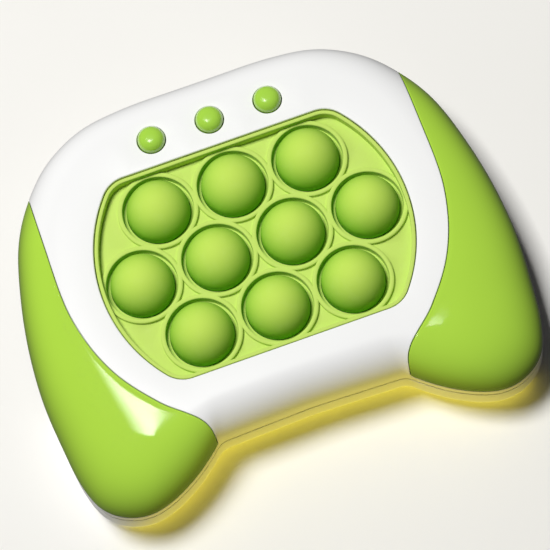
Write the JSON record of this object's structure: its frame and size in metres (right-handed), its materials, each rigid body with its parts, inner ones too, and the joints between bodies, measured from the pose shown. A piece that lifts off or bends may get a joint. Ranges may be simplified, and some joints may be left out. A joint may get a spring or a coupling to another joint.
{
  "type": "electronic bubble pop game",
  "caption": "Hand-held electronic toy shaped like a game pad, with press-in bubbles on a soft pad, push buttons above it, grip covers, a speaker and a battery box.",
  "frame": {"origin": "centre of the body's bounding box, on the flat face that it rests on", "axes": "+X across the body towards the grip on the player's right, +Y from the grips towards the three buttons, +Z out of the face"},
  "size_m": [0.1644, 0.1358, 0.036],
  "materials": {
    "shell_white": "satin white moulded plastic",
    "grip_green": "glossy bright green moulded plastic",
    "pad_silicone": "satin light green silicone",
    "bubble_silicone": "satin green silicone",
    "button_green": "glossy green moulded plastic",
    "carrier_white": "plain white moulded plastic",
    "board_green": "coated circuit board",
    "black_plastic": "plain black plastic",
    "speaker_paper": "matt pressed paper",
    "steel": "plated steel",
    "battery_wrap": "plain shrink wrap, bare of words",
    "lead_cover": "insulated wire"
  },
  "bodies": {
    "casing": {"front_shell": "shell_white", "back_shell": "shell_white", "left_grip_cover": "grip_green", "right_grip_cover": "grip_green", "bubble_pad": "pad_silicone", "pad_carrier": "carrier_white", "main_board": "board_green", "bubble_switch_1": "black_plastic", "bubble_switch_2": "black_plastic", "bubble_switch_3": "black_plastic", "bubble_switch_4": "black_plastic", "bubble_switch_5": "black_plastic", "bubble_switch_6": "black_plastic", "bubble_switch_7": "black_plastic", "bubble_switch_8": "black_plastic", "bubble_switch_9": "black_plastic", "bubble_switch_10": "black_plastic", "power_switch": "black_plastic", "mode_switch": "black_plastic", "sound_switch": "black_plastic", "controller_chip": "black_plastic", "speaker_frame": "black_plastic", "speaker_cone": "speaker_paper", "speaker_magnet": "steel", "speaker_lead": "lead_cover", "battery_lead": "lead_cover", "battery_1": "battery_wrap", "battery_2": "battery_wrap", "battery_3": "battery_wrap", "contact_right_pair": "steel", "contact_right_single": "steel", "contact_left_single": "steel", "contact_left_pair": "steel", "housing_screw_1": "steel", "housing_screw_2": "steel", "housing_screw_3": "steel", "housing_screw_4": "steel"},
    "bubble_1": {"bubble_1": "bubble_silicone"},
    "bubble_2": {"bubble_2": "bubble_silicone"},
    "bubble_3": {"bubble_3": "bubble_silicone"},
    "bubble_4": {"bubble_4": "bubble_silicone"},
    "bubble_5": {"bubble_5": "bubble_silicone"},
    "bubble_6": {"bubble_6": "bubble_silicone"},
    "bubble_7": {"bubble_7": "bubble_silicone"},
    "bubble_8": {"bubble_8": "bubble_silicone"},
    "bubble_9": {"bubble_9": "bubble_silicone"},
    "bubble_10": {"bubble_10": "bubble_silicone"},
    "power_button": {"power_button": "button_green"},
    "mode_button": {"mode_button": "button_green"},
    "sound_button": {"sound_button": "button_green"},
    "battery_door": {"battery_door": "shell_white", "door_screw": "steel"}
  },
  "joints": [
    {"name": "bubble_1_press", "type": "slide", "parent": "casing", "child": "bubble_1", "axis": [0, 0, -1], "range_m": [0, 0.005], "stiffness_N_per_m": 300},
    {"name": "bubble_2_press", "type": "slide", "parent": "casing", "child": "bubble_2", "axis": [0, 0, -1], "range_m": [0, 0.005], "stiffness_N_per_m": 300},
    {"name": "bubble_3_press", "type": "slide", "parent": "casing", "child": "bubble_3", "axis": [0, 0, -1], "range_m": [0, 0.005], "stiffness_N_per_m": 300},
    {"name": "bubble_4_press", "type": "slide", "parent": "casing", "child": "bubble_4", "axis": [0, 0, -1], "range_m": [0, 0.005], "stiffness_N_per_m": 300},
    {"name": "bubble_5_press", "type": "slide", "parent": "casing", "child": "bubble_5", "axis": [0, 0, -1], "range_m": [0, 0.005], "stiffness_N_per_m": 300},
    {"name": "bubble_6_press", "type": "slide", "parent": "casing", "child": "bubble_6", "axis": [0, 0, -1], "range_m": [0, 0.005], "stiffness_N_per_m": 300},
    {"name": "bubble_7_press", "type": "slide", "parent": "casing", "child": "bubble_7", "axis": [0, 0, -1], "range_m": [0, 0.005], "stiffness_N_per_m": 300},
    {"name": "bubble_8_press", "type": "slide", "parent": "casing", "child": "bubble_8", "axis": [0, 0, -1], "range_m": [0, 0.005], "stiffness_N_per_m": 300},
    {"name": "bubble_9_press", "type": "slide", "parent": "casing", "child": "bubble_9", "axis": [0, 0, -1], "range_m": [0, 0.005], "stiffness_N_per_m": 300},
    {"name": "bubble_10_press", "type": "slide", "parent": "casing", "child": "bubble_10", "axis": [0, 0, -1], "range_m": [0, 0.005], "stiffness_N_per_m": 300},
    {"name": "power_button_press", "type": "slide", "parent": "casing", "child": "power_button", "axis": [0, 0, -1], "range_m": [0, 0.0012], "stiffness_N_per_m": 1200},
    {"name": "mode_button_press", "type": "slide", "parent": "casing", "child": "mode_button", "axis": [0, 0, -1], "range_m": [0, 0.0012], "stiffness_N_per_m": 1200},
    {"name": "sound_button_press", "type": "slide", "parent": "casing", "child": "sound_button", "axis": [0, 0, -1], "range_m": [0, 0.0012], "stiffness_N_per_m": 1200},
    {"name": "battery_door_lift", "type": "slide", "parent": "casing", "child": "battery_door", "axis": [0, 0, -1], "range_m": [0, 0.015]}
  ]
}
